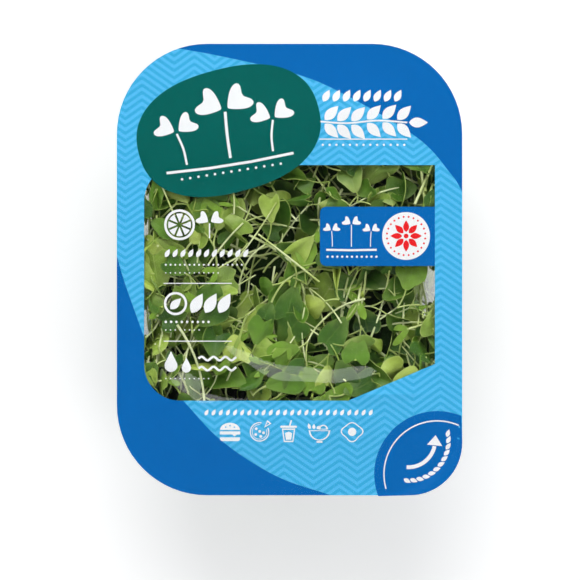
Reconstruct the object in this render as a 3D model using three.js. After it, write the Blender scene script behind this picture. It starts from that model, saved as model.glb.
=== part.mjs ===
// A pack of arugula microgreens: a clear formed tray with a flat rim, the heap of greens that fills
// it, and the printed film that is sealed on the rim. One corner of the film reaches past the
// tray's rounder corner, as a tab to peel it by.
//
// Millimetres, +Z up. X runs across the pack and Y along it. The origin is in the middle of the
// tray's underside, so the pack lies on its base with the film up.

import * as THREE from 'three';

// ---- driving dimensions -------------------------------------------------------------------

const FILM = { width: 145.4, length: 190, cornerRadius: 38, tabRadius: 22.3, thickness: 0.25 };

const TRAY = {
  height: 49.5, // underside of the base to the top of the rim
  wall: 0.5, // thickness of the formed sheet
  trim: 0.5, // the rim is cut this much inside the film's edge
  rimWidth: 6.5, // flat land that the film is sealed on
  skirt: 2.6, // turned-down outer edge of the rim
  skirtFlare: 0.5, // how far the skirt stands out at its foot
  shoulder: 8.5, // depth of the straight neck below the rim
  ledge: 1.6, // step from the neck to the tapered wall
  taper: 7, // how far the wall draws in from the ledge to the base
  baseRadius: 5, // round between wall and base
};

// a raised ring stiffens the base, inside its edge
const BASE_RING = { inset: 27, width: 5, height: 1.2 };

// shallow upright flutes stiffen the walls, and fade out at the ledge and at the base
const FLUTE = { depth: 1.3, alongLong: 6, alongShort: 3 };

const GREENS = {
  clearance: 1.1, // sides of the heap to the flutes of the tray
  sideBumps: 1.3, // how uneven the sides are
  top: 46, // mean height of the heap
  topBumps: 1.9, // how uneven its top is
  shoulderDrop: 3.2, // the heap rounds down towards the walls
};

const GAP = 0.3; // between pieces that rest on each other
const CORNER_STEPS = 8; // stations on each rounded corner
const TRAY_STEPS = 4; // stations for each flute of the tray
const HEAP_STEPS = 2; // and as many lengths of the heap's sides
const TOP_RINGS = 11; // rings of facets over the heap's top

// ---- the plan: a rounded rectangle drawn as stations --------------------------------------

// Each station is a point of the inner rectangle with the outward direction there, so the outline
// at any inset keeps true round corners. wave runs from 0 to 1 and back over each flute.
function planStations(stepsPerFlute) {
  const halfX = FILM.width / 2 - TRAY.trim - FILM.cornerRadius;
  const halfY = FILM.length / 2 - TRAY.trim - FILM.cornerRadius;
  const corners = [
    { x: halfX, y: -halfY, flutes: FLUTE.alongLong },
    { x: halfX, y: halfY, flutes: FLUTE.alongShort },
    { x: -halfX, y: halfY, flutes: FLUTE.alongLong },
    { x: -halfX, y: -halfY, flutes: FLUTE.alongShort },
  ];
  const stations = [];
  corners.forEach((corner, quarter) => {
    for (let i = 0; i <= CORNER_STEPS; i++) {
      const angle = (quarter - 1 + i / CORNER_STEPS) * (Math.PI / 2);
      stations.push({ x: corner.x, y: corner.y, nx: Math.cos(angle), ny: Math.sin(angle), wave: 0 });
    }
    const next = corners[(quarter + 1) % 4];
    const angle = (quarter * Math.PI) / 2;
    const steps = corner.flutes * stepsPerFlute;
    for (let i = 1; i < steps; i++) {
      const part = i / steps;
      stations.push({
        x: THREE.MathUtils.lerp(corner.x, next.x, part),
        y: THREE.MathUtils.lerp(corner.y, next.y, part),
        nx: Math.cos(angle),
        ny: Math.sin(angle),
        wave: 0.5 - 0.5 * Math.cos(part * corner.flutes * 2 * Math.PI),
      });
    }
  });
  return stations;
}

// ---- a body lofted round the plan ---------------------------------------------------------

// profile is a list of rings { inset, z, reach, flute }: inset from the rim's edge, height,
// reach from 1 at the outline to 0 at the middle, and how much of the flutes' depth is felt.
// A lathe gives the rings their facets, and each of its points is then put on the plan.
// shift adds what is uneven.
function loft(profile, stations, shift = () => ({ inset: 0, z: 0 })) {
  const rings = profile.map((ring, j) => new THREE.Vector2((ring.reach ?? 1) > 0 ? 1 : 0, j));
  const geometry = new THREE.LatheGeometry(rings, stations.length);
  const position = geometry.attributes.position;
  for (let k = 0; k < position.count; k++) {
    const ring = profile[k % profile.length];
    const station = stations[Math.floor(k / profile.length) % stations.length];
    const reach = ring.reach ?? 1;
    const uneven = shift(station, ring, reach);
    const flute = (ring.flute ?? 0) * FLUTE.depth * station.wave;
    const out = FILM.cornerRadius - ring.inset - flute - uneven.inset;
    const x = (station.x + station.nx * out) * reach;
    const y = (station.y + station.ny * out) * reach;
    position.setXYZ(k, x, y, ring.z + uneven.z);
  }
  geometry.deleteAttribute('uv');
  geometry.computeVertexNormals();
  return geometry;
}

// ---- the tray -----------------------------------------------------------------------------

// the wall's outer face, from the edge of the base up to the neck below the rim; turn is the way
// the sheet faces there, from 0 on a wall to a quarter turn on the base
function wallRings() {
  const neck = TRAY.rimWidth;
  const ledgeTop = TRAY.height - TRAY.shoulder;
  const wallTop = { inset: neck + TRAY.ledge, z: ledgeTop - TRAY.ledge };
  const wallFoot = { inset: wallTop.inset + TRAY.taper, z: TRAY.baseRadius };
  const between = (part, flute) => ({
    inset: THREE.MathUtils.lerp(wallFoot.inset, wallTop.inset, part),
    z: THREE.MathUtils.lerp(wallFoot.z, wallTop.z, part),
    flute,
  });
  const round = (turn) => ({
    inset: wallFoot.inset + TRAY.baseRadius * (1 - Math.cos(turn)),
    z: TRAY.baseRadius * (1 - Math.sin(turn)),
    turn,
  });
  return [
    round(Math.PI / 2),
    round(Math.PI / 3),
    round(Math.PI / 6),
    { ...wallFoot },
    between(0.25, 0.7),
    between(0.5, 1),
    between(0.75, 0.8),
    wallTop,
    { inset: neck, z: ledgeTop },
  ];
}

// the base's underside, from its middle out to the foot of the wall
function baseRings() {
  const inner = BASE_RING.inset + BASE_RING.width;
  const turn = Math.PI / 2;
  return [
    { inset: inner, z: 0, turn, reach: 0 },
    { inset: inner, z: 0, turn },
    { inset: inner - BASE_RING.height, z: BASE_RING.height, turn },
    { inset: BASE_RING.inset + BASE_RING.height, z: BASE_RING.height, turn },
    { inset: BASE_RING.inset, z: 0, turn },
  ];
}

function trayGeometry() {
  const { height, wall, rimWidth, skirt, skirtFlare } = TRAY;
  const outer = [...baseRings(), ...wallRings()];
  const rim = [
    { inset: rimWidth, z: height - wall },
    { inset: wall + skirtFlare, z: height - wall },
    { inset: wall, z: height - skirt },
    { inset: 0, z: height - skirt },
    { inset: skirtFlare, z: height },
    { inset: rimWidth + wall, z: height },
  ];
  const inner = outer
    .map((ring) => ({
      ...ring,
      inset: ring.inset + wall * Math.cos(ring.turn ?? 0),
      z: ring.z + wall * Math.sin(ring.turn ?? 0),
    }))
    .reverse();
  return loft([...outer, ...rim, ...inner], planStations(TRAY_STEPS));
}

// ---- the heap of greens -------------------------------------------------------------------

// how the heap's surface rises and falls over the plan, between -1 and 1
function heapWaves(x, y) {
  const wide = Math.sin(x / 17 + 0.6) * Math.cos(y / 21 - 0.4);
  const narrow = Math.sin(x / 7.5 - y / 11 + 1.1) * Math.cos(y / 8.5 + x / 19);
  return 0.55 * wide + 0.45 * narrow;
}

function greensGeometry() {
  const { clearance, sideBumps, top, topBumps, shoulderDrop } = GREENS;
  const inset = TRAY.wall + FLUTE.depth + clearance;
  const floor = TRAY.wall + BASE_RING.height + GAP;
  const sides = wallRings()
    .map((ring) => ({ inset: ring.inset + inset, z: Math.max(ring.z, floor), side: true }))
    .filter((ring, k, all) => k === 0 || ring.z > all[k - 1].z + GAP);
  const shoulder = { inset: TRAY.rimWidth + inset, z: top - shoulderDrop, side: true };
  const rings = [{ inset: sides[0].inset, z: floor, reach: 0 }, ...sides, shoulder];
  for (let k = 1; k <= TOP_RINGS; k++) {
    const part = k / TOP_RINGS;
    const rise = shoulderDrop * Math.sin((Math.min(part * 4, 1) * Math.PI) / 2);
    rings.push({ inset: shoulder.inset, z: shoulder.z + rise, reach: 1 - part, crown: true });
  }
  const uneven = (station, ring, reach) => {
    const out = FILM.cornerRadius - ring.inset;
    const x = (station.x + station.nx * out) * reach;
    const y = (station.y + station.ny * out) * reach;
    const side = ring.side && ring.z > floor ? heapWaves(x + ring.z, y - 2 * ring.z) + 1 : 0;
    const crown = ring.crown ? heapWaves(x, y) : 0;
    return { inset: (sideBumps * side) / 2, z: topBumps * crown };
  };
  return loft(rings, planStations(HEAP_STEPS), uneven);
}

// ---- the lid film -------------------------------------------------------------------------

// three corners follow the tray's rim, and the fourth is the fuller one of the peel tab
function filmGeometry() {
  const x = FILM.width / 2;
  const y = FILM.length / 2;
  const corners = [
    { x, y: -y, radius: FILM.tabRadius },
    { x, y, radius: FILM.cornerRadius },
    { x: -x, y, radius: FILM.cornerRadius },
    { x: -x, y: -y, radius: FILM.cornerRadius },
  ];
  const outline = new THREE.Shape();
  corners.forEach(({ x: cx, y: cy, radius }, quarter) => {
    const start = ((quarter - 1) * Math.PI) / 2;
    const middleX = cx - Math.sign(cx) * radius;
    const middleY = cy - Math.sign(cy) * radius;
    outline.absarc(middleX, middleY, radius, start, start + Math.PI / 2, false);
  });
  outline.closePath();
  return new THREE.ExtrudeGeometry(outline, {
    depth: FILM.thickness,
    bevelEnabled: false,
    curveSegments: 14,
  });
}

// ---- the pack -----------------------------------------------------------------------------

function named(name, geometry, material) {
  const mesh = new THREE.Mesh(geometry, material);
  mesh.name = name;
  return mesh;
}

const clearPlastic = new THREE.MeshStandardMaterial({
  color: 0xe9efee,
  roughness: 0.08,
  metalness: 0,
  transparent: true,
  opacity: 0.35,
});
const freshGreens = new THREE.MeshStandardMaterial({ color: 0x5f8038, roughness: 0.55, metalness: 0 });
const printedFilm = new THREE.MeshStandardMaterial({ color: 0x3fb0e0, roughness: 0.2, metalness: 0 });

const pack = new THREE.Group();

pack.add(named('tray', trayGeometry(), clearPlastic));
pack.add(named('greens', greensGeometry(), freshGreens));

const film = named('lid_film', filmGeometry(), printedFilm);
film.position.z = TRAY.height + GAP;
pack.add(film);

export default pack;
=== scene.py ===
# %% [markdown]
# # A pack of arugula microgreens
# A clear tray is formed from one thin sheet, filled with loose seedlings and closed by a printed
# film with a clear window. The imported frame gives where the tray, the heap and the film lie. This
# file makes what is seen there: the formed tray, the film with its print, and the seedlings.

# %% Load the frame
import math
import random

import bpy
import numpy as np
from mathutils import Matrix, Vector


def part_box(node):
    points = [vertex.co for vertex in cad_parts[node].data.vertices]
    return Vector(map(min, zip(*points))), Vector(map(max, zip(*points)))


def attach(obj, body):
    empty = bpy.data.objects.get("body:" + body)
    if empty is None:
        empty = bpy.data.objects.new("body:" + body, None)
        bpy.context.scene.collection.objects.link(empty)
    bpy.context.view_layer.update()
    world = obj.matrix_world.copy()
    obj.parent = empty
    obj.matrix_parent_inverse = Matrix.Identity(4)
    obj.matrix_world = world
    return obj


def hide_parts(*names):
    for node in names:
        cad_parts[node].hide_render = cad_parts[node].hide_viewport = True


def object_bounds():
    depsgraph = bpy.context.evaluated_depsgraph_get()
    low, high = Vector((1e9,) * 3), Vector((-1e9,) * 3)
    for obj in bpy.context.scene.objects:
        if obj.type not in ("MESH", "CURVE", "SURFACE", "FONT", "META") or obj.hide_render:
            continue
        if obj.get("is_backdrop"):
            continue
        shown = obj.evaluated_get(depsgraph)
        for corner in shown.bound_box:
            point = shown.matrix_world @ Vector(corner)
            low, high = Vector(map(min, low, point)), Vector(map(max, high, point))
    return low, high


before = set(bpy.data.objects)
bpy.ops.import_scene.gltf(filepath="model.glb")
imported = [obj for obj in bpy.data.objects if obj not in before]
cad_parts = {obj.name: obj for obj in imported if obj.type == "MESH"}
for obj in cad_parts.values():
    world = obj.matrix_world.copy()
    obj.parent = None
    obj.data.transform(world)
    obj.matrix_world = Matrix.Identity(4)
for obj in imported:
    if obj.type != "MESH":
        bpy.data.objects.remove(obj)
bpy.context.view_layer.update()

print("frame nodes", sorted(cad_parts))

# %% [markdown]
# Sizes are in millimetres, as a packaging drawing has them, and MM turns them into metres where a
# mesh is made. The film's width and length come from the frame. The corner radii and the steps of
# the tray are those of the frame's solids. The rim's sides run straight for so far either way from
# the middle, and round its corners from there.

# %% Sizes that everything shares
MM = 0.001
film_low, film_high = (np.array(corner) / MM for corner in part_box("lid_film"))
RIM_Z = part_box("tray")[1][2] / MM
FILM_W, FILM_L = film_high[:2] - film_low[:2]
CORNER_R, TAB_R = 38.0, 22.3
TRIM = 0.5
RIM_W = 6.5
SHEET = 0.5
STRAIGHT_X = FILM_W / 2 - TRIM - CORNER_R
STRAIGHT_Y = FILM_L / 2 - TRIM - CORNER_R
print(f"film {FILM_W:.1f} x {FILM_L:.1f} mm, rim at {RIM_Z:.1f} mm")

# %% [markdown]
# Operators act on whatever is selected, so small helpers say what that is: `only` makes one object the
# selected one, and `pick` selects vertices in edit mode by a test of their place. `begun` and `drawn` start
# a piece, and `dressed` gives a finished one its material and its body.

# %% Helpers for pieces


def only(obj):
    bpy.ops.object.select_all(action="DESELECT")
    obj.select_set(True)
    bpy.context.view_layer.objects.active = obj


def mode(name):
    bpy.ops.object.mode_set(mode=name)


def edit_all():
    mode("EDIT")
    bpy.ops.mesh.select_all(action="SELECT")


def pick(test):
    """Select the vertices whose place in mm passes the test, and stay in edit mode."""
    obj = bpy.context.object
    mode("EDIT")
    bpy.ops.mesh.select_mode(type="VERT")
    bpy.ops.mesh.select_all(action="DESELECT")
    mode("OBJECT")
    obj.data.vertices.foreach_set("select", [bool(test(v.co / MM)) for v in obj.data.vertices])
    mode("EDIT")


def begun(name, primitive, **sizes):
    """A piece begun as one of Blender's primitives."""
    bpy.ops.object.select_all(action="DESELECT")
    primitive(**sizes)
    obj = bpy.context.object
    obj.name = obj.data.name = name
    return obj


def drawn(name, data):
    """A new object in the scene, the only one selected."""
    obj = bpy.data.objects.new(name, data)
    bpy.context.collection.objects.link(obj)
    only(obj)
    return obj


def read_mm(mesh):
    """All vertices of a mesh as an array in mm."""
    flat = np.empty(len(mesh.vertices) * 3)
    mesh.vertices.foreach_get("co", flat)
    return flat.reshape(-1, 3) / MM


def write_mm(mesh, points):
    mesh.vertices.foreach_set("co", (points * MM).ravel())
    mesh.update()


def dressed(obj, material):
    obj.data.materials.clear()
    obj.data.materials.append(material)
    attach(obj, "root")
    print(f"{obj.name}: {sum(len(face.vertices) - 2 for face in obj.data.polygons)} triangles")


# %% [markdown]
# ## Finishes
# Every material starts from the Principled shader. `finish` makes one and sets its plain sockets,
# and `add` places a node and wires it. The other helpers name what a surface is made of: sums,
# a value brought from one span to another, a blend of two colours, a noise and a relief.

# %% Material helpers


def finish(name, **sockets):
    material = bpy.data.materials.new(name)
    material.use_nodes = True
    shader = material.node_tree.nodes["Principled BSDF"]
    for socket, value in sockets.items():
        shader.inputs[socket.replace("_", " ")].default_value = value
    return material, material.node_tree, shader


def add(tree, kind, inputs=None, **settings):
    node = tree.nodes.new("ShaderNode" + kind)
    for key, value in settings.items():
        setattr(node, key, value)
    for socket, value in (inputs or {}).items():
        if isinstance(value, bpy.types.NodeSocket):
            tree.links.new(value, node.inputs[socket])
        else:
            node.inputs[socket].default_value = value
    return node


def calc(tree, operation, *values):
    """One math node over its values."""
    return add(tree, "Math", dict(enumerate(values)), operation=operation).outputs[0]


def span(tree, value, low, high, to_low=0.0, to_high=1.0, blend="SMOOTHSTEP"):
    """A value brought from low and high to to_low and to_high, and kept between them."""
    sockets = {"Value": value, "From Min": low, "From Max": high, "To Min": to_low, "To Max": to_high}
    return add(tree, "MapRange", sockets, interpolation_type=blend).outputs["Result"]


def blended(tree, share, first, second):
    """A colour that goes from first to second as share goes from 0 to 1."""
    node = add(tree, "Mix", {0: share, 6: first, 7: second}, data_type="RGBA")
    return node.outputs[2]


def place_of(tree):
    return add(tree, "TexCoord").outputs["Object"]


def noise(tree, scale, detail):
    sockets = {"Vector": place_of(tree), "Scale": scale, "Detail": detail}
    return add(tree, "TexNoise", sockets).outputs["Fac"]


def relief(tree, shader, height, strength, depth):
    bump = add(tree, "Bump", {"Height": height, "Strength": strength, "Distance": depth * MM})
    tree.links.new(bump.outputs["Normal"], shader.inputs["Normal"])


def new_group(name, inputs, outputs):
    tree = bpy.data.node_groups.new(name, "ShaderNodeTree")
    for socket, kind in inputs.items():
        tree.interface.new_socket(socket, in_out="INPUT", socket_type=kind)
    for socket, kind in outputs.items():
        tree.interface.new_socket(socket, in_out="OUTPUT", socket_type=kind)
    return tree, tree.nodes.new("NodeGroupInput"), tree.nodes.new("NodeGroupOutput")


# %% [markdown]
# The clear sheet and the film are thin glass-like plastic. A plain transmissive shader would leave
# the greens in the dark, because lamps don't reach through it, so rays that ask whether a lamp is
# seen meet a transparent shader instead. That mix is the usual way to light what stands behind a
# window pane. A faint unevenness of the sheet makes its gloss waver, as formed plastic does.

# %% Clear plastic


def clear_plastic(name, tint, passed, roughness, mirror, wobble, scale):
    material, tree, shader = finish(name, Roughness=roughness, IOR=1.5, Specular_IOR_Level=mirror)
    shader.inputs["Base Color"].default_value = tint
    shader.inputs["Transmission Weight"].default_value = 1.0
    relief(tree, shader, noise(tree, scale, 1.0), wobble, 0.4)
    ray = add(tree, "LightPath")
    clear = add(tree, "BsdfTransparent", {"Color": passed})
    both = {0: ray.outputs["Is Shadow Ray"], 1: shader.outputs["BSDF"], 2: clear.outputs["BSDF"]}
    mix = add(tree, "MixShader", both)
    tree.links.new(mix.outputs["Shader"], tree.nodes["Material Output"].inputs["Surface"])
    return material


TRAY_TINT, TRAY_PASSED = (0.985, 0.995, 0.992, 1), (0.96, 0.97, 0.97, 1)
FILM_TINT, FILM_PASSED = (0.995, 0.998, 1.0, 1), (0.985, 0.99, 0.99, 1)
tray_plastic = clear_plastic("clear_tray_plastic", TRAY_TINT, TRAY_PASSED, 0.04, 0.26, 0.25, 90.0)
film_plastic = clear_plastic("clear_film_plastic", FILM_TINT, FILM_PASSED, 0.05, 0.36, 0.05, 60.0)
print("clear plastics ready")

# %% [markdown]
# Ink is printed on the film's inner face. Each ink is even to the eye, but a press never lays it
# quite level, so a slow mottle and a fine grain shift its colour by a few per cent. Every ink uses
# that effect, so it is a node group with the ink's colour going in and the printed colour coming
# out. The gloss belongs to the film in front, so the ink itself has next to none.

# %% Printed inks
INK_UNEVENNESS = 0.05
grain_tree, grain_in, grain_out = new_group(
    "print_grain",
    {"Ink": "NodeSocketColor", "Amount": "NodeSocketFloat"},
    {"Colour": "NodeSocketColor", "Height": "NodeSocketFloat"},
)
amount = grain_in.outputs["Amount"]
fine_grain = noise(grain_tree, 1500.0, 1.0)
both_grains = calc(grain_tree, "ADD", noise(grain_tree, 60.0, 3.0), fine_grain)
shift = calc(grain_tree, "SUBTRACT", calc(grain_tree, "MULTIPLY", both_grains, amount), amount)
level = calc(grain_tree, "ADD", shift, 1.0)
gain = add(grain_tree, "HueSaturation", {"Color": grain_in.outputs["Ink"], "Value": level})
grain_tree.links.new(gain.outputs["Color"], grain_out.inputs["Colour"])
grain_tree.links.new(fine_grain, grain_out.inputs["Height"])


def ink(name, colour, roughness=0.42):
    """An ink of one colour, or of what colour(tree) paints, through the print's grain."""
    material, tree, shader = finish(name, Roughness=roughness, Specular_IOR_Level=0.06)
    laid_on = {"Ink": colour(tree) if callable(colour) else (*colour, 1), "Amount": INK_UNEVENNESS}
    grain = add(tree, "Group", laid_on, node_tree=grain_tree)
    tree.links.new(grain.outputs["Colour"], shader.inputs["Base Color"])
    relief(tree, shader, grain.outputs["Height"], 0.05, 0.05)
    return material


ink_blue = ink("ink_deep_blue", (0.0008, 0.143, 0.465))
ink_green = ink("ink_dark_green", (0.0, 0.121, 0.104))
ink_white = ink("ink_white", (0.88, 0.89, 0.9), roughness=0.5)
ink_red = ink("ink_red", (0.82, 0.018, 0.022))
print("even inks ready")

# %% [markdown]
# The light blue field carries a tone-on-tone chevron: zigzag stripes whose arms all rise at one
# slope but turn at uneven places. A float curve holds that zigzag as a height over X. Taking it
# from Y straightens the stripes, and a sine of what is left paints them, light and dark in turn.

# %% Chevron ink
CHEVRON_TURNS = (-76, -69, -62, -48.5, -40, -31.5, -20, -10.5, -2.3, 10, 21, 28.5, 40, 52, 63.5, 76)
CHEVRON_SLOPE, CHEVRON_PITCH, CHEVRON_SHIFT = 0.7, 3.09, 1.1


def chevrons(tree):
    arms = np.diff(CHEVRON_TURNS) * CHEVRON_SLOPE
    arms[::2] *= -1
    heights = np.concatenate(([0], np.cumsum(arms)))
    low, rise = heights.min(), np.ptp(heights)
    first, last = CHEVRON_TURNS[0], CHEVRON_TURNS[-1]
    parts = add(tree, "SeparateXYZ", {0: place_of(tree)})
    along = span(tree, parts.outputs["X"], first * MM, last * MM, blend="LINEAR")
    zigzag = add(tree, "FloatCurve", {"Value": along})
    curve = zigzag.mapping.curves[0]
    while len(curve.points) < len(heights):
        curve.points.new(0.5, 0.5)
    for point, x, height in zip(curve.points, CHEVRON_TURNS, heights):
        point.location = ((x - first) / (last - first), (height - low) / rise)
        point.handle_type = "VECTOR"
    zigzag.mapping.update()
    over = calc(tree, "MULTIPLY", zigzag.outputs["Value"], -rise * MM)
    flat = calc(tree, "ADD", parts.outputs["Y"], over)
    turns = calc(tree, "MULTIPLY_ADD", flat, 2 * math.pi / (CHEVRON_PITCH * MM), CHEVRON_SHIFT)
    share = span(tree, calc(tree, "SINE", turns), -0.55, 0.55)
    return blended(tree, share, (0.047, 0.425, 0.74, 1), (0.1, 0.52, 0.86, 1))


ink_cyan = ink("ink_light_blue_chevron", chevrons)
print(f"chevrons turn {len(CHEVRON_TURNS)} times, every {CHEVRON_PITCH} mm")

# %% [markdown]
# ## The film and its print
# The film is drawn tight over the rim, but it isn't a drum skin: it bellies a little over the
# greens, low ripples cross it, and three soft creases run across its lower part. All printed fields
# lie on the same sheet, so one function gives its height, and every flat piece is cut out first
# and then lifted by that function.

# %% How the film rises


def inside_by(x, y):
    """How far a place is inside the rim's outline, in mm, and the way out from there."""
    over_x, over_y = np.abs(x) - STRAIGHT_X, np.abs(y) - STRAIGHT_Y
    reach = np.hypot(np.maximum(over_x, 0), np.maximum(over_y, 0))
    inner = np.minimum(np.maximum(over_x, over_y), 0)
    corner = (over_x > 0) & (over_y > 0)
    safe = np.maximum(reach, 1e-9)
    out_x = np.where(corner, over_x / safe, over_x >= over_y) * np.sign(x)
    out_y = np.where(corner, over_y / safe, over_x < over_y) * np.sign(y)
    return CORNER_R - reach - inner, out_x, out_y


def smooth(value, low, high):
    t = np.clip((value - low) / (high - low), 0, 1)
    return t * t * (3 - 2 * t)


def ridge(height, distance, width):
    return height * np.exp(-0.5 * (distance / width) ** 2)


BELLY = 0.7
TAB_CURL = 0.9


def film_lift(x, y):
    """How high the film stands over its flat lie at a place."""
    inside = inside_by(x, y)[0]
    ripples = 0.14 * np.sin((0.8 * x + 0.35 * y) / 7.6 + 0.7)
    ripples += 0.09 * np.sin((y - 0.25 * x) / 5.1 + 2.1)
    bend = np.where(x < 12, 0.0085, 0.003) * (x - 12) ** 2
    from_main = y - (-40.2 + bend + 0.5 * np.sin(x / 3.7))
    from_foot = y + 52.6 - 0.5 * np.sin(x / 6.3)
    from_corner = y + 40.0 + 0.45 * (x + 46) + 0.35 * np.sin(x / 2.9)
    creases = smooth(x, -42, -22) * (1 - smooth(x, 26, 54)) * ridge(1.15, from_main, 4.2)
    creases += smooth(x, -45, -30) * ridge(0.36, from_foot, 1.6)
    creases += smooth(x, -66, -56) * (1 - smooth(x, -42, -27)) * ridge(1.5, from_corner, 5.4)
    free = smooth(inside, RIM_W, RIM_W + 26)
    return free * (BELLY + ripples + creases) + TAB_CURL * smooth(-inside, 0.0, 6.0)


FILM_THICK = 0.08
FILM_TOP = RIM_Z + 0.36
LAYER = 0.03
grid = np.meshgrid(np.linspace(-70, 70, 71), np.linspace(-92, 92, 93))
print(f"the film rises by up to {film_lift(*grid).max():.2f} mm")

# %% [markdown]
# A printed field is drawn as closed lines on a flat curve, which Blender fills, holes and all. The
# filled face has only points on its outline, so it couldn't follow the film. It is therefore
# scored into small cells by straight cuts both ways, lifted, and given its thickness.

# %% Outlines


def arc(x, y, radius, start, end, steps=14, squash=1.0):
    """Points on a round stretch, from one angle to the other, in degrees."""
    angles = np.radians(np.linspace(start, end, steps + 1))
    return [(x + radius * math.cos(a), y + radius * squash * math.sin(a)) for a in angles]


def rounded(low, high, radii):
    """A rectangle whose corners have their own radii, from bottom right, anticlockwise."""
    corners = [(high[0], low[1]), high, (low[0], high[1]), low]
    line = []
    for k, ((x, y), radius) in enumerate(zip(corners, radii)):
        inward = (-1 if x == high[0] else 1, -1 if y == high[1] else 1)
        centre = (x + inward[0] * radius, y + inward[1] * radius)
        line += arc(*centre, radius, 90 * (k - 1), 90 * k, 16 if radius > 5 else 6)
    return line


def through(points, steps=8):
    """A smooth line through the points given."""
    ends = [2 * np.array(points[0]) - points[1], 2 * np.array(points[-1]) - points[-2]]
    p = np.array([ends[0], *points, ends[1]])
    line = []
    for k in range(1, len(p) - 2):
        for t in np.arange(steps) / steps:
            a = 2 * p[k] + (p[k + 1] - p[k - 1]) * t
            b = (2 * p[k - 1] - 5 * p[k] + 4 * p[k + 1] - p[k + 2]) * t**2
            c = (3 * p[k] - p[k - 1] - 3 * p[k + 1] + p[k + 2]) * t**3
            line.append(tuple(0.5 * (a + b + c)))
    return line + [tuple(points[-1])]


def turned(points, centre, degrees):
    """Points turned round the origin and then carried to a centre."""
    c, s = math.cos(math.radians(degrees)), math.sin(math.radians(degrees))
    return [(centre[0] + c * x - s * y, centre[1] + s * x + c * y) for x, y in points]


def film_outline(inset=0.0):
    x, y = FILM_W / 2 - inset, FILM_L / 2 - inset
    main = CORNER_R - inset
    return rounded((-x, -y), (x, y), (TAB_R - inset, main, main, main))


print(f"the film's outline has {len(film_outline())} points")

# %% Cut, score, lift and thicken a sheet


def flat_shape(name, loops):
    """Closed lines in mm, filled as one flat face."""
    curve = bpy.data.curves.new(name, "CURVE")
    curve.dimensions = "2D"
    curve.fill_mode = "BOTH"
    for loop in loops:
        spline = curve.splines.new("POLY")
        spline.points.add(len(loop) - 1)
        for point, (x, y) in zip(spline.points, loop):
            point.co = (x * MM, y * MM, 0, 1)
        spline.use_cyclic_u = True
    drawn(name, curve)
    bpy.ops.object.convert(target="MESH")
    return bpy.context.object


def score(obj, cell):
    """Cut a flat face both ways into cells of that size."""
    only(obj)
    low, high = read_mm(obj.data).min(0), read_mm(obj.data).max(0)
    edit_all()
    for axis, way in enumerate(((1, 0, 0), (0, 1, 0))):
        for cut in np.arange(math.ceil(low[axis] / cell) * cell, high[axis], cell):
            bpy.ops.mesh.select_all(action="SELECT")
            bpy.ops.mesh.bisect(plane_co=[part * cut * MM for part in way], plane_no=way)
    bpy.ops.mesh.select_all(action="SELECT")
    bpy.ops.mesh.remove_doubles(threshold=0.002 * MM)
    mode("OBJECT")


def thickened(obj, thick, **settings):
    """Give a sheet its thickness away from its face."""
    wall = obj.modifiers.new("thickness", "SOLIDIFY")
    wall.thickness, wall.offset = thick * MM, -1
    for key, value in settings.items():
        setattr(wall, key, value)
    bpy.ops.object.modifier_apply(modifier=wall.name)


def lift_and_thicken(obj, depth, thick):
    """Bend a flat piece to the film, depth below its top, and give it a thickness downwards."""
    points = read_mm(obj.data)
    points[:, 2] = FILM_TOP - depth + film_lift(points[:, 0], points[:, 1])
    write_mm(obj.data, points)
    only(obj)
    thickened(obj, thick)


def printed(name, shapes, layer, material, cell=2.5):
    """A field of ink: each shape is a list of loops, and layer 0 lies nearest the film."""
    pieces = [flat_shape(name, loops) for loops in shapes]
    only(pieces[0])
    for piece in pieces[1:]:
        piece.select_set(True)
    if len(pieces) > 1:
        bpy.ops.object.join()
    field = pieces[0]
    field.name = field.data.name = name
    score(field, cell)
    lift_and_thicken(field, FILM_THICK + 0.02 + layer * LAYER, 0.012)
    dressed(field, material)


film = flat_shape("lid_clear", [film_outline()])
score(film, 1.7)
lift_and_thicken(film, 0.0, FILM_THICK)
bpy.ops.object.shade_smooth_by_angle(angle=math.radians(40))
dressed(film, film_plastic)
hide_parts("lid_film")

# %% [markdown]
# The fields of colour come next, from the film downwards: a press lays the nearest colour first.
# Deep blue covers the whole film but the window. A light blue field sweeps over it from one corner
# to the other, a deep blue patch marks the peel tab, and a badge and an oval panel reach into the
# window.

# %% Fields of colour
EDGE_X, EDGE_Y = FILM_W / 2 - 0.1, FILM_L / 2 - 0.1
WINDOW_SIDE, WINDOW_TOP, WINDOW_FOOT, WINDOW_R = 61.1, 43.9, -55.1, 15.0
window = [
    (24.6, WINDOW_FOOT),
    (WINDOW_SIDE, -39.7),
    (WINDOW_SIDE, WINDOW_TOP),
    *arc(-WINDOW_SIDE + WINDOW_R, WINDOW_TOP - WINDOW_R, WINDOW_R, 90, 180),
    *arc(-WINDOW_SIDE + WINDOW_R, WINDOW_FOOT + WINDOW_R, WINDOW_R, 180, 270),
]

LENS_TOP = [(-47, 93.0), (-31.3, 90.2), (-7.8, 84.9), (16.2, 77.1), (52.8, 56.1), (67.9, 40.1), (72.6, 32.9)]
LENS_LEFT = [(-72.6, 5.7), (-69.1, -6.1), (-61.2, -28.3)]
LENS_FOOT = [(-44.7, -55.1), (-28.4, -72.1), (-5.7, -86.8), (17.4, -94.9)]
TAB_CORNER = arc(EDGE_X - TAB_R, -EDGE_Y + TAB_R, TAB_R, 270, 360)
lens = [
    *through(LENS_TOP)[::-1],
    *arc(-EDGE_X + CORNER_R, EDGE_Y - CORNER_R, CORNER_R, 109, 180),
    *through(LENS_LEFT),
    *window[3:18][::-1],
    *window[2::-1],
    *through(LENS_FOOT),
    *TAB_CORNER,
]

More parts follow.
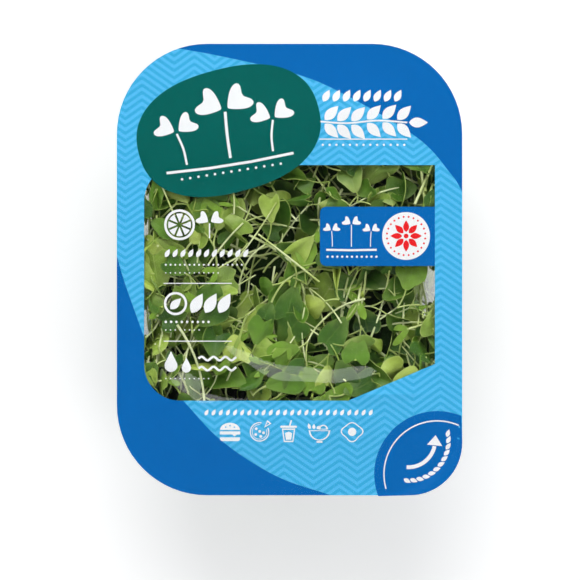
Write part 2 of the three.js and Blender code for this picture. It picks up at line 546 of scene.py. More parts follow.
TAB_CENTRE = (62.1, -86.0)
tab_field = [*arc(*TAB_CENTRE, 26.5, 67.5, 200.5, 30), *TAB_CORNER]
badge = rounded((12.8, 1.5), (62.0, 26.4), (0.1, 0.1, 2.6, 2.6))

PANEL_CENTRE, PANEL_TURN, PANEL_FULLNESS = (-25.6, 58.4), 15, 2.35


def fuller(part, half):
    """A coordinate of an oval that is fuller than an ellipse."""
    return math.copysign(half * abs(part) ** (2 / PANEL_FULLNESS), part)


PANEL_ANGLES = 2 * math.pi * np.arange(96) / 96
oval = [(fuller(math.cos(a), 39.0), fuller(math.sin(a), 26.0)) for a in PANEL_ANGLES]
panel = turned(oval, PANEL_CENTRE, PANEL_TURN)

printed("print_deep_blue", [[film_outline(0.1), window]], 5, ink_blue)
printed("print_badge", [[badge]], 4, ink_blue)
printed("print_light_blue", [[lens]], 3, ink_cyan)
printed("print_tab", [[tab_field]], 2, ink_blue)
printed("print_panel", [[panel]], 2, ink_green)

# %% [markdown]
# The print's small marks are plain kitchen-garden signs: sprouts, leaves, a slice of citrus, drops
# of water and simple dishes. A mark is a list of closed lines, filled between them, and each is
# drawn by a short function from a place, a size and a turn. They are cut out as one piece of white
# ink, nearest the film.

# %% Small outlines


def disc(x, y, radius, steps=20):
    return arc(x, y, radius, 0, 360 - 360 / steps, steps - 1)


def ring(x, y, radius, inner, steps):
    return [disc(x, y, radius, steps), disc(x, y, inner, steps)]


def leaf(x, y, length, width, angle):
    """A pointed leaf, from its foot at x, y."""
    t = np.linspace(0, 1, 13)
    half = width / 2 * np.sin(math.pi * t**0.8)
    side = list(zip(t * length, half)) + [(u * length, -v) for u, v in zip(t, half)][-2:0:-1]
    return [turned(side, (x, y), angle)]


def heart(x, y, size, angle):
    """A notched seed leaf, from its foot at x, y."""
    line = []
    for a in np.radians(np.arange(-174, 180, 12)):
        along = 0.5 + 0.5 * math.cos(a) - 0.32 * math.exp(-((a / 0.5) ** 2))
        across = 0.66 * math.sin(a) * (0.22 + 0.78 * max(along, 0) ** 0.8)
        line.append((size * along, size * across))
    return [turned(line, (x, y), angle)]


def stroke(points, thick):
    """A line of even thickness along the points."""
    p = np.array(points, float)
    way = np.gradient(p, axis=0)
    way /= np.linalg.norm(way, axis=1)[:, None]
    out = np.column_stack((-way[:, 1], way[:, 0])) * thick / 2
    return [[tuple(q) for q in (*(p + out), *(p - out)[::-1])]]


def sprout(x, y, height, size, lean=0.0):
    """A seedling: a stem and its two seed leaves."""
    top_x, top_y = x + lean, y + height
    stem = through([(x, y), (x + 0.2 * lean, y + 0.5 * height), (top_x, top_y)], 5)
    aside = 0.12 * size
    pair = [heart(top_x - aside, top_y + aside, size, 148), heart(top_x + aside, top_y + aside, size, 32)]
    return [stroke(stem, 0.1 * size), *pair]


def dots(low, high, y, pitch, radius):
    return [[disc(x, y, radius, 10)] for x in np.arange(low, high + 0.01, pitch)]


def leaf_row(low, high, y, pitch, length, width):
    """Small leaves in a row, which lean the same way."""
    return [leaf(x, y, length, width, 62) for x in np.arange(low, high + 0.01, pitch)]


def moved(shapes, centre, degrees=0):
    return [[turned(loop, centre, degrees) for loop in loops] for loops in shapes]


def scaled(line, centre, share):
    """A line drawn in towards a centre."""
    return [(centre[0] + share * (x - centre[0]), centre[1] + share * (y - centre[1])) for x, y in line]


print(f"a seed leaf has {len(heart(0, 0, 10, 0)[0])} points")

# %% Marks on the panel and beside it
PANEL_MARKS = [
    *sprout(-18, -9.5, 13.5, 9.2, -2.2),
    *sprout(0.5, -9.5, 19.5, 12.0, 0.8),
    *sprout(18.6, -9.5, 13.0, 9.0, 2.0),
    stroke([(-27, -11.6), (-9, -12.4), (9, -12.4), (27, -11.6)], 1.1),
    *dots(-21, 21.1, -15.2, 3.5, 0.55),
]
GARLAND = through([(13.0, 62.2), (24, 61.5), (37, 62.6), (49.5, 61.8)], 6)
garland_leaves = [
    leaf(x, y + 0.8 * side, 8.2, 4.2, 46 * side) for x, y in GARLAND[1:-2:3] for side in (1, -1)
]
marks = [
    *moved(PANEL_MARKS, (-26.8, 56.2), 9),
    stroke(GARLAND, 0.7),
    *garland_leaves,
    leaf(50.2, 61.8, 8.0, 4.2, 0),
    *leaf_row(14.2, 44.6, 70.6, 4.3, 5.6, 2.9),
    stroke([(12.6, 54.8), (30, 54.8), (49.5, 54.8)], 0.45),
    *dots(14.0, 48.2, 52.4, 2.85, 0.5),
]
print(f"{len(marks)} shapes so far")

# %% The column of three signs over the window


def citrus(x, y, radius, wedges=8):
    """A slice of citrus: its rind and its segments."""
    shapes = [ring(x, y, radius, 0.84 * radius, 32)]
    spread = 180 / wedges - 5
    for middle in np.arange(wedges) * 360 / wedges:
        tip = arc(x, y, 0.16 * radius, middle, middle, 1)[:1]
        shapes.append([tip + arc(x, y, 0.74 * radius, middle - spread, middle + spread, 4)])
    return shapes


def drop(x, y, size):
    """A drop of water, its tip up."""
    return [[(x, y + 1.35 * size), *arc(x, y, 0.62 * size, 158, 382, 14)]]


def wave(y):
    x = np.linspace(-38.2, -22.4, 25)
    return stroke(np.column_stack((x, y + 0.8 * np.sin((x - x[0]) * 1.25))), 0.95)


def rule(y):
    return stroke([(-52.9, y), (-38, y), (-24.2, y)], 0.4)


marks += [
    *citrus(-46.2, 18.8, 6.5),
    *sprout(-33.6, 13.2, 6.2, 5.6),
    *leaf_row(-52.2, -19.0, 5.2, 3.3, 3.9, 1.9),
    *dots(-52.0, -20.0, 2.0, 2.0, 0.42),
    *dots(-52.0, -30.0, -1.4, 2.0, 0.3),
    rule(-5.8),
    ring(-47.9, -14.3, 4.9, 3.9, 30),
    leaf(-50.1, -16.6, 6.4, 3.3, 45),
    *[leaf(x, -18.2, 9.4, 4.8, 60) for x in (-41.2, -35.4, -29.6)],
    *dots(-52.0, -34.0, -22.0, 2.25, 0.55),
    *dots(-52.0, -38.0, -25.4, 2.0, 0.3),
    rule(-30.1),
    drop(-49.8, -40.3, 4.4),
    drop(-43.3, -41.3, 3.2),
    wave(-37.4),
    wave(-41.6),
    *dots(-52.0, -34.0, -45.8, 2.0, 0.3),
]
print(f"{len(marks)} shapes so far")

# %% [markdown]
# Each dish is drawn round the origin and then moved to its place in the row: a bun with seeds, a
# filling with one drip and the bun's foot; a round with its topping, and a slice drawn out of it; a
# cup with a lid and a straw; a bowl with leaves and half a fruit; and a fried egg.

# %% The row of dishes at the foot
FOOT_Y = -68.2
FILLING = [(-4.3, 0.2), (4.3, 0.2), (4.3, -1.1), (2.9, -1.1), (1.9, -1.9), (0.9, -1.1), (-4.3, -1.1)]
burger = [
    [[(4.2, 0.8), *arc(0, 0.8, 4.2, 0, 180, 14, 0.72)]],
    [FILLING],
    [rounded((-4.2, -3.9), (4.2, -2.3), (1.0, 0.3, 0.3, 1.0))],
]
burger[0] += [disc(x, y, 0.33, 8) for x, y in ((-1.8, 2.0), (0.0, 2.6), (1.8, 2.0))]

PIECE = [(1.9, 1.7), (5.0, 3.5), (3.3, 4.9)]
TOPPING = ((-1.4, 1.3), (-1.6, -1.1), (0.5, -1.9), (1.7, -0.4), (0.1, 0.2))
pizza = [
    [arc(0, 0, 4.1, 78, 385, 28) + arc(0, 0, 3.65, 78, 385, 28)[::-1]],
    [arc(0, 0, 3.2, 84, 378, 26) + arc(0, 0, 2.95, 84, 378, 26)[::-1]],
    *[[disc(*spot, 0.62, 10)] for spot in TOPPING],
    [PIECE, scaled(PIECE, (3.4, 3.4), 0.5)],
]

SIDE = [(-2.0, -4.3), (2.0, -4.3), (2.8, 1.4), (-2.8, 1.4)]
cup = [
    [SIDE, scaled(SIDE, (0, -1.5), 0.8)],
    [[(-1.1, -3.3), (1.1, -3.3), (1.5, -0.6), (0.2, 0.1), (-1.5, -0.5)]],
    [rounded((-3.5, 1.7), (3.5, 2.6), (0.4,) * 4)],
    stroke([(0.5, 2.6), (0.8, 3.7), (1.2, 4.9)], 0.6),
]

HOLLOW = [(4.6, 0.6), (-4.6, 0.6), *arc(0, 0.6, 4.5, 184, 356, 18, 0.95)]
FRUIT = [(3.6, 1.0), *arc(1.6, 1.0, 2.0, 0, 180, 12)]
bowl = [
    [HOLLOW, scaled(HOLLOW, (0, -1.1), 0.84)],
    [FRUIT, scaled(FRUIT, (1.6, 1.7), 0.6)],
    leaf(-4.0, 1.1, 2.6, 1.3, 105),
    leaf(-2.4, 1.1, 2.2, 1.3, 88),
    leaf(-1.0, 1.1, 1.8, 1.3, 55),
    [rounded((-1.3, -4.6), (1.3, -3.9), (0.3,) * 4)],
]

around = np.radians(np.arange(0, 360, 10))
reach = 4.1 + 0.42 * np.cos(4 * around) + 0.16 * np.sin(3 * around)
WHITE = list(zip(1.06 * reach * np.cos(around), 0.94 * reach * np.sin(around)))
egg = [[WHITE, scaled(WHITE, (0, 0), 0.89)], [disc(0, 0, 1.75, 20)]]

for dish, x in ((burger, -25.0), (pizza, -12.6), (cup, -0.4), (bowl, 12.6), (egg, 26.3)):
    marks += moved(dish, (x, FOOT_Y))
marks += leaf_row(-35.5, 33.5, -61.3, 3.0, 2.9, 1.5)
print(f"{len(marks)} shapes so far")

# %% Badge and tab
DISC_CENTRE, ARROW_CENTRE = (49.0, 14.1), (50.0, -71.9)
marks += [
    *sprout(18.0, 9.6, 6.6, 3.5, -0.3),
    *sprout(26.0, 9.6, 9.2, 3.9),
    *sprout(34.0, 9.6, 6.4, 3.5, 0.3),
    stroke([(15.4, 8.3), (26, 8.1), (36.6, 8.3)], 0.9),
    *dots(16.0, 36.5, 5.4, 2.05, 0.5),
    stroke(arc(*TAB_CENTRE, 22.4, 66, 196, 30), 0.55),
    stroke(arc(*ARROW_CENTRE, 11.2, -94, -12, 16), 1.6),
    [[(64.2, -74.2), (61.4, -69.6), (57.8, -73.6)]],
]


def wreath(shape, centre, turns):
    """Copies of a shape, drawn for a turn of 0, at other turns round a centre."""
    return [loops for turn in turns for loops in moved([shape], centre, turn)]


marks += wreath(leaf(16.2, 0, 3.4, 1.8, 68), ARROW_CENTRE, np.arange(-97, 6, 9.3))
emblem = [
    [disc(*DISC_CENTRE, 1.0, 16)],
    *wreath(leaf(1.7, 0, 4.9, 2.5, 0), DISC_CENTRE, np.arange(0, 360, 45)),
    *wreath([disc(8.1, 0, 0.42, 10)], DISC_CENTRE, np.arange(7.5, 360, 15)),
]
printed("print_disc", [[disc(*DISC_CENTRE, 10.05, 48)]], 1, ink_white)
printed("print_emblem", emblem, 0, ink_red)
printed("print_marks", marks, 0, ink_white)

# %% [markdown]
# ## The tray
# The tray is drawn down from one flat sheet over a mould, and it is modelled the same way. It
# starts as a flat plate with the rim's outline. Insetting that plate again and again, each time a
# little lower, draws the sheet down ring by ring: the sealing land, the neck, a small ledge on
# which trays nest, the tapered wall, the round into the base, and the raised ring that stiffens
# it. The outer edge is extruded downwards as the turned-down skirt.

# %% The plate
NECK = RIM_W + SHEET
FLUTE_DEPTH = 1.3
FLUTES_LONG, FLUTES_SHORT = 6, 3
SKIRT_OUT, SKIRT_DOWN = 0.5, 2.6

tray = begun("clear_tray", bpy.ops.mesh.primitive_plane_add, size=1.0)
edit_all()
plate = (FILM_W - 2 * TRIM - 2 * SKIRT_OUT, FILM_L - 2 * TRIM - 2 * SKIRT_OUT)
bpy.ops.transform.resize(value=(plate[0] * MM, plate[1] * MM, 1))
bpy.ops.transform.translate(value=(0, 0, RIM_Z * MM))
bpy.ops.mesh.bevel(offset=(CORNER_R - SKIRT_OUT) * MM, segments=14, affect="VERTICES")
bpy.ops.mesh.select_mode(type="EDGE")
for straight, cuts in ((2 * STRAIGHT_Y, 6 * FLUTES_LONG - 1), (2 * STRAIGHT_X, 8 * FLUTES_SHORT - 1)):
    bpy.ops.mesh.select_all(action="DESELECT")
    mode("OBJECT")
    ends = read_mm(tray.data)
    for edge in tray.data.edges:
        a, b = edge.vertices
        edge.select = bool(abs(np.linalg.norm(ends[a] - ends[b]) - straight) < 1.0)
    mode("EDIT")
    bpy.ops.mesh.subdivide(number_cuts=cuts)
mode("OBJECT")
print(f"plate {plate[0]:.1f} x {plate[1]:.1f} mm with {len(tray.data.vertices)} points")

# %% Draw it down ring by ring
WALL_TOP = (NECK + 1.6, RIM_Z - 8.5 - 1.6 + SHEET)
WALL_FOOT = (WALL_TOP[0] + 7.0, 5.0 + SHEET)
BASE_ROUND = 5.0 - SHEET

# each ring: how far inside the rim's outline, and how high
profile = [(1.1, RIM_Z), (1.7, RIM_Z - 0.22), (2.3, RIM_Z)]
profile += [(NECK - 0.6, RIM_Z), (NECK - 0.2, RIM_Z - 0.15), (NECK, RIM_Z - 0.6)]
profile += [(NECK + 0.01, RIM_Z - 4.5), (NECK + 0.02, RIM_Z - 8.2)]
profile += [(NECK + 0.4, RIM_Z - 9.0), (WALL_TOP[0] - 0.25, WALL_TOP[1] + 0.25)]
profile += [(WALL_TOP[0], WALL_TOP[1] - 0.4)]
for part in np.arange(1, 9) / 8:
    profile.append(tuple(a + (b - a) * part for a, b in zip(WALL_TOP, WALL_FOOT)))
for turn in np.radians([18, 36, 54, 72, 90]):
    inset = WALL_FOOT[0] + BASE_ROUND * (1 - math.cos(turn))
    profile.append((inset, SHEET + BASE_ROUND * (1 - math.sin(turn))))
profile += [(27.0, SHEET), (27.5, SHEET + 0.3), (28.2, SHEET + 1.1), (28.8, SHEET + 1.2)]
profile += [(30.8, SHEET + 1.2), (31.4, SHEET + 1.1), (32.1, SHEET + 0.3), (32.6, SHEET)]

only(tray)
edit_all()
bpy.ops.mesh.select_mode(type="FACE")
bpy.ops.mesh.select_all(action="SELECT")
before = (SKIRT_OUT, RIM_Z)
for inset, height in profile:
    bpy.ops.mesh.inset(thickness=(inset - before[0]) * MM, depth=(height - before[1]) * MM)
    before = (inset, height)
print(f"drawn through {len(profile)} rings to z {before[1]:.1f} mm")

# %% The skirt
bpy.ops.mesh.select_mode(type="EDGE")
for out, down in ((0.12, 0.12), (0.1, 0.5), (0.1, 0.9), (0.18, SKIRT_DOWN - 1.52)):
    bpy.ops.mesh.select_all(action="DESELECT")
    bpy.ops.mesh.select_non_manifold()
    bpy.ops.mesh.extrude_edges_move(TRANSFORM_OT_translate={"value": (0, 0, -down * MM)})
    mode("OBJECT")
    points = read_mm(tray.data)
    edge_points = np.array([v.select for v in tray.data.vertices])
    _, *way = inside_by(points[:, 0], points[:, 1])
    points[edge_points, :2] += np.transpose(way)[edge_points] * out
    write_mm(tray.data, points)
    mode("EDIT")
mode("OBJECT")
low, high = read_mm(tray.data).min(0), read_mm(tray.data).max(0)
print("tray sheet", low.round(2), high.round(2))

# %% [markdown]
# Shallow upright flutes stiffen the long thin walls. They are too soft to be extruded, so the
# wall's points are moved inwards by a wave along each side, which fades out at the ledge above and
# at the round below. Then the sheet gets its thickness, towards the outside.

# %% Flutes and thickness


def flute_depth(x, y, z):
    """How far a flute draws the wall in at a place."""
    _, way_x, _ = inside_by(x, y)
    along_y = np.clip((y + STRAIGHT_Y) / (2 * STRAIGHT_Y), 0, 1) * FLUTES_LONG
    along_x = np.clip((x + STRAIGHT_X) / (2 * STRAIGHT_X), 0, 1) * FLUTES_SHORT
    turns = np.where(np.abs(way_x) > 0.999, along_y, along_x)
    wave = 0.5 - 0.5 * np.cos(2 * math.pi * turns)
    height = np.interp(z, [WALL_FOOT[1], 14, 23, 31, WALL_TOP[1]], [0, 0.8, 1, 0.85, 0])
    return FLUTE_DEPTH * wave * height


points = read_mm(tray.data)
_, *way = inside_by(points[:, 0], points[:, 1])
points[:, :2] -= np.transpose(way * flute_depth(*points.T))
write_mm(tray.data, points)

only(tray)
edit_all()
bpy.ops.mesh.normals_make_consistent(inside=False)
mode("OBJECT")
base_face = max(tray.data.polygons, key=lambda face: face.area)
if base_face.normal.z < 0:
    tray.data.flip_normals()
thickened(tray, SHEET, use_even_offset=True)
bpy.ops.object.shade_smooth_by_angle(angle=math.radians(50))
dressed(tray, tray_plastic)
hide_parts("tray")

# %% [markdown]
# ## The greens
# The heap is a few hundred seedlings. Each has a pale, limp stem, a node, and two notched seed
# leaves on stalks, and some have the first small true leaves at the node. Only the outer ones are
# seen, so they lie in tiers over a dark core: a loose top tier under the film, two tiers below it
# that close the gaps, and a coat of them along the clear walls.
#
# The leaf's skin is a node group, since its upper and lower face share the veins, the mottle and a paler
# edge, which is a painted rim highlight. A leaf's own coordinates run from its foot to its tip and from side
# to side, so the veins follow the leaf however it lies. Each leaf carries a tint, from dark and old to pale
# and young, and the deeper tiers are given lower tints, which is painted shade.

# %% The effect of veins
vein_tree, vein_in, vein_out = new_group(
    "leaf_veins",
    {"Flesh": "NodeSocketColor", "Vein": "NodeSocketColor"},
    {"Colour": "NodeSocketColor", "Height": "NodeSocketFloat", "Gloss": "NodeSocketFloat"},
)
leaf_uv = add(vein_tree, "UVMap", uv_map="leaf")
leaf_parts = add(vein_tree, "SeparateXYZ", {0: leaf_uv.outputs["UV"]})
from_foot = leaf_parts.outputs["X"]
off_centre = calc(vein_tree, "ABSOLUTE", calc(vein_tree, "SUBTRACT", from_foot, 0.5))
off_middle = calc(vein_tree, "ABSOLUTE", calc(vein_tree, "SUBTRACT", leaf_parts.outputs["Y"], 0.5))

midrib = span(vein_tree, off_middle, 0.035, 0.0)
slant = calc(vein_tree, "MULTIPLY", off_middle, -1.9)
branches = calc(vein_tree, "MULTIPLY_ADD", from_foot, 3.6, slant)
branch_line = span(vein_tree, calc(vein_tree, "PINGPONG", branches, 0.5), 0.085, 0.0, to_high=0.55)
near_margin = span(vein_tree, off_middle, 0.42, 0.2, blend="LINEAR")
veins = calc(vein_tree, "MAXIMUM", calc(vein_tree, "MULTIPLY", branch_line, near_margin), midrib)

skin_fine = noise(vein_tree, 1700.0, 2.0)
mottle = span(vein_tree, noise(vein_tree, 260.0, 2.0), 0.25, 0.75, 0.78, 1.22, "LINEAR")
flesh = add(vein_tree, "HueSaturation", {"Color": vein_in.outputs["Flesh"], "Value": mottle})
near_foot = span(vein_tree, from_foot, 0.4, 0.02, to_high=0.36)
# A painted highlight: the leaf's edge is made paler all round, as a rim of light catching it would look.
rim_highlight = span(vein_tree, calc(vein_tree, "MAXIMUM", off_middle, off_centre), 0.44, 0.5, to_high=0.4)
pale_share = calc(vein_tree, "MAXIMUM", calc(vein_tree, "MULTIPLY", veins, 0.3), near_foot)
pale_share = calc(vein_tree, "MAXIMUM", pale_share, rim_highlight)
veined = blended(vein_tree, pale_share, flesh.outputs["Color"], vein_in.outputs["Vein"])
vein_tree.links.new(veined, vein_out.inputs["Colour"])
vein_tree.links.new(calc(vein_tree, "SUBTRACT", skin_fine, veins), vein_out.inputs["Height"])
gloss = span(vein_tree, skin_fine, 0.0, 1.0, 0.36, 0.62, "LINEAR")
vein_tree.links.new(gloss, vein_out.inputs["Gloss"])
print("veins ready")

# %% Leaf skins and stems


def tint_ramp(tree, colours):
    """The colour of each leaf, by its tint."""
    tint = add(tree, "Attribute", attribute_name="tint")
    ramp = add(tree, "ValToRGB", {"Fac": tint.outputs["Fac"]})
    stops = ramp.color_ramp.elements
    for _ in colours[2:]:
        stops.new(0.5)
    for k, colour in enumerate(colours):
        stops[k].position = k / (len(colours) - 1)
        stops[k].color = (*colour, 1)
    return ramp.outputs["Color"]


def leaf_skin(name, colours, vein):
    material, tree, shader = finish(name, Specular_IOR_Level=0.35)
    colour_in = {"Flesh": tint_ramp(tree, colours), "Vein": (*vein, 1)}
    skin = add(tree, "Group", colour_in, node_tree=vein_tree)
    tree.links.new(skin.outputs["Colour"], shader.inputs["Base Color"])
    tree.links.new(skin.outputs["Gloss"], shader.inputs["Roughness"])
    relief(tree, shader, skin.outputs["Height"], 0.35, 0.12)
    return material


def stem_skin(name, pale, green):
    material, tree, shader = finish(name, Roughness=0.36, Specular_IOR_Level=0.45)
    share = span(tree, noise(tree, 55.0, 2.0), 0.36, 0.64)
    tree.links.new(blended(tree, share, (*pale, 1), (*green, 1)), shader.inputs["Base Color"])
    relief(tree, shader, noise(tree, 2200.0, 1.0), 0.3, 0.1)
    return material


LEAF_TOPS = [(0.018, 0.064, 0.006), (0.046, 0.132, 0.01), (0.108, 0.24, 0.018), (0.225, 0.385, 0.034)]
LEAF_UNDERS = [(0.132, 0.232, 0.032), (0.24, 0.368, 0.05), (0.355, 0.485, 0.074), (0.5, 0.62, 0.11)]
leaf_upper = leaf_skin("leaf_upper_skin", LEAF_TOPS, (0.22, 0.34, 0.06))
leaf_lower = leaf_skin("leaf_lower_skin", LEAF_UNDERS, (0.54, 0.64, 0.2))
stem_pale = stem_skin("stem_pale_skin", (0.8, 0.87, 0.48), (0.5, 0.6, 0.17))
stem_green = stem_skin("stalk_green_skin", (0.5, 0.6, 0.2), (0.27, 0.38, 0.06))
print("leaf skins and stem skins ready")

# %% [markdown]
# A seed leaf is modelled once, flat. It begins as a small square grid. Each square ring of the
# grid is drawn into a circle, which makes a disc of even cells. With proportional editing, which
# drags the neighbours along, the foot is pulled out to where the stalk joins and the far edge is
# pushed in for the notch. A rounder one and a narrow true leaf come from the same grid, so all
# share their faces and their coordinates.

# %% Model the leaves
MODEL_SIZE = 20.0


def leaf_model(name, cells, foot, notch, tip, length, width):
    """A flat leaf of that width, its foot at the origin and its tip along +X.

    foot, notch and tip say how far those places are dragged, and over how wide a stretch.
    """
    grid = {"x_subdivisions": cells, "y_subdivisions": cells, "size": MODEL_SIZE * MM}
    leaf = begun(name, bpy.ops.mesh.primitive_grid_add, **grid)
    for ring in range(1, cells // 2 + 1):
        reach = MODEL_SIZE * ring / cells
        pick(lambda p: abs(max(abs(p.x), abs(p.y)) - reach) < 0.01)
        bpy.ops.transform.tosphere(value=1.0)
    mode("OBJECT")
    drag = {"use_proportional_edit": True, "proportional_edit_falloff": "SMOOTH"}
    half = read_mm(leaf.data)[:, 0].max()
    for at, way, (move, stretch) in ((-half, -1, foot), (half, -1, notch), (half, 1, tip)):
        if move:
            pick(lambda p: abs(p.x - at) < 0.05)
            value = (way * move * MODEL_SIZE * MM, 0, 0)
            bpy.ops.transform.translate(value=value, proportional_size=stretch * MODEL_SIZE * MM, **drag)
    bpy.ops.mesh.select_all(action="SELECT")
    bpy.ops.transform.resize(value=(length, width, 1))
    mode("OBJECT")
    points = read_mm(leaf.data)
    points[:, 0] -= points[:, 0].min()
    points /= np.ptp(points[:, 1]) / width
    faces = np.array([face.vertices[:] for face in leaf.data.polygons])
    coordinates = np.array([loop.uv[:] for loop in leaf.data.uv_layers[0].data])
    bpy.data.objects.remove(leaf)
    print(f"{name}: {np.ptp(points[:, 0]):.2f} long for a width of {width}, {len(faces)} faces")
    return points, faces, coordinates


NONE = (0.0, 0.0)
SHAPES = (
    ("seed_leaf", (0.46, 0.6), (0.4, 0.44), NONE, 0.8, 1.0),
    ("seed_leaf_round", (0.26, 0.52), (0.26, 0.38), NONE, 0.86, 1.0),
    ("seed_leaf_wedge", (0.6, 0.78), (0.32, 0.4), NONE, 0.84, 1.0),
    ("true_leaf", (0.3, 0.75), NONE, (0.15, 0.7), 1.0, 0.5),
)
SEED_KINDS, TRUE_LEAF = (0, 0, 1, 2), 3
MODELS = {}
for cells in (10, 8, 6):
    MODELS[cells] = [leaf_model(f"{name}_{cells}", cells, *shape) for name, *shape in SHAPES]

# %% [markdown]
# No two leaves lie alike. Each copy is bent by a few numbers before it is put in place: how far it
# is folded along its midrib, cupped, curled back from foot to tip, twisted, and rippled at its
# edge. Then it is kept inside the room that the tray and the film leave, as a real leaf is
# pressed against them.

# %% Bend, place and settle
CLEAR_OF_WALL = 0.7
CLEAR_OF_FILM = 0.45
FLOOR_OF_GREENS = 2.5


def bent(points, width, fold, cup, curl, twist, ripple):
    """A flat leaf made to its width in mm and bent."""
    x, y = points[:, 0] * width, points[:, 1] * width
    middle = 0.55 * width
    around = np.arctan2(y, x - middle)
    reach = np.hypot(x - middle, y) / width
    swell = 1 + 1.4 * ripple * reach**2 * np.sin(5 * around + 40 * ripple)
    x, y = middle + (x - middle) * swell, y * swell
    z = cup * width * reach**2
    z = z + ripple * width * reach**3 * np.sin(3 * around + 9 * ripple)
    side = np.sqrt(y**2 + 0.002 * width**2)
    z = z + side * math.sin(fold)
    y = y * math.cos(fold)
    turn = twist * x / width
    y, z = y * np.cos(turn) - z * np.sin(turn), y * np.sin(turn) + z * np.cos(turn)
    bend = curl * x / width
    radius = width / (curl if abs(curl) > 0.01 else 0.01)
    return np.column_stack(((radius - z) * np.sin(bend), y, radius - (radius - z) * np.cos(bend)))


def wall_inset(z):
    """How far the wall's inner face stands inside the rim's outline at a height, flutes apart."""
    heights = [0.5, 1.8, WALL_FOOT[1], WALL_TOP[1], 41.5]
    return np.interp(z, heights, [22.0, 18.0, WALL_FOOT[0], WALL_TOP[0], NECK])


def settle(points, below_film=0.0):
    """Keep points inside the tray and under the film."""
    x, y, z = points.T
    z = np.clip(z, FLOOR_OF_GREENS, FILM_TOP)
    inside, way_x, way_y = inside_by(x, y)
    push = np.maximum(wall_inset(z) + flute_depth(x, y, z) + CLEAR_OF_WALL - inside, 0)
    x, y = x - way_x * push, y - way_y * push
    ceiling = FILM_TOP + film_lift(x, y) - 5 * LAYER - FILM_THICK - CLEAR_OF_FILM - below_film
    return np.column_stack((x, y, np.minimum(z, ceiling)))


# places in plan and half sizes: small gaps at the window's edges, where the pale floor shows
# through the tray, and dark hollows, which stems cross but leaves don't
GAPS = ((59.8, -6.0, 2.3, 6.4), (-60.8, 17.4, 1.0, 1.4), (-61.0, -22.0, 0.9, 4.6))
HOLLOWS = ((-16.0, -4.0, 3.2, 2.2), (-11.0, 9.5, 1.6, 1.4), (27.0, -1.0, 2.0, 1.6), (-14.0, 20.0, 1.8, 1.6))
HOLLOWS += ((2.0, 21.0, 1.4, 2.4), (26.0, 29.5, 2.0, 1.4), (41.0, -28.0, 1.8, 1.4))


def clear_of(gaps, points):
    """Whether no point lies in a gap, seen from above."""
    return all(
        (((points[:, 0] - x) / half_x) ** 2 + ((points[:, 1] - y) / half_y) ** 2 > 1).all()
        for x, y, half_x, half_y in gaps
    )


def unit(vector):
    return vector / np.linalg.norm(vector)


def heading(turn, rise):
    """A direction from its angle in plan and its rise, both in degrees."""
    a, b = math.radians(turn), math.radians(rise)
    return np.array([math.cos(a) * math.cos(b), math.sin(a) * math.cos(b), math.sin(b)])


def faced(points, foot, along, up):
    """Points of a leaf put at its foot, pointing along, its upper face towards up."""
    side = unit(np.cross(up, along))
    return foot + points @ np.array([along, side, np.cross(along, side)])


print("the room for greens reaches", settle(np.array([[0, 0, 99.0], [99, 0, 30.0]])).round(1).tolist())

# %% [markdown]
# One seeded generator makes every choice, in the order in which the seedlings are grown. A leaf,
# stem or stalk that would cross a place that stays clear isn't kept.

# %% Grow one seedling
rng = random.Random(23)
stems, stalks = [], []
TIER_CELLS = {"top": 10, "middle": 8, "deep": 6, "sides": 6}
leaves = {tier: [] for tier in TIER_CELLS}


def share_near(middle, spread):
    """A random share, from 0 to 1, around a middle."""
    return min(max(rng.gauss(middle, spread), 0), 1)


def grow_leaf(tier, foot, along, up, width, kind, tint, pressed):
    fold = math.radians(abs(rng.gauss(0, 20)) + (35 if rng.random() < 0.14 else 0))
    shape = bent(
        MODELS[TIER_CELLS[tier]][kind][0],
        width,
        fold * rng.choice((1, 1, -1)),
        cup=rng.uniform(-0.25, 0.5),
        curl=rng.gauss(-0.1, 0.5),
        twist=rng.gauss(0, 0.35),
        ripple=rng.uniform(0.04, 0.17),
    )
    placed = settle(faced(shape, foot, along, up), pressed)
    if clear_of(GAPS + HOLLOWS, placed):
        leaves[tier].append((placed, tint))


def curved(start, way, length, bend, drop, steps):
    """Points of a limp stem: it turns in plan by bend and sags by drop, in degrees."""
    points, (turn, rise) = [start], way
    for _ in range(steps):
        points.append(points[-1] + heading(turn, rise) * length / steps)
        turn += bend / steps
        rise -= drop / steps
    return np.array(points)


def keep(paths, path, thick, shape):
    """Gather a stem or stalk with its radius all along, given as shares of its thickness."""
    if clear_of(GAPS, path):
        paths.append((path, thick * np.array(shape)))


def across(vector, along):
    """The part of a direction that stands square to another."""
    return unit(vector - along * vector.dot(along))


STEM_TAPER = np.linspace(0.85, 1.0, 9)
STALK_TAPER = (0.95, 0.8, 0.72, 0.8, 0.95)
STEM_RISE = -22.0
UPRIGHT = np.array([0, 0, 1.0])


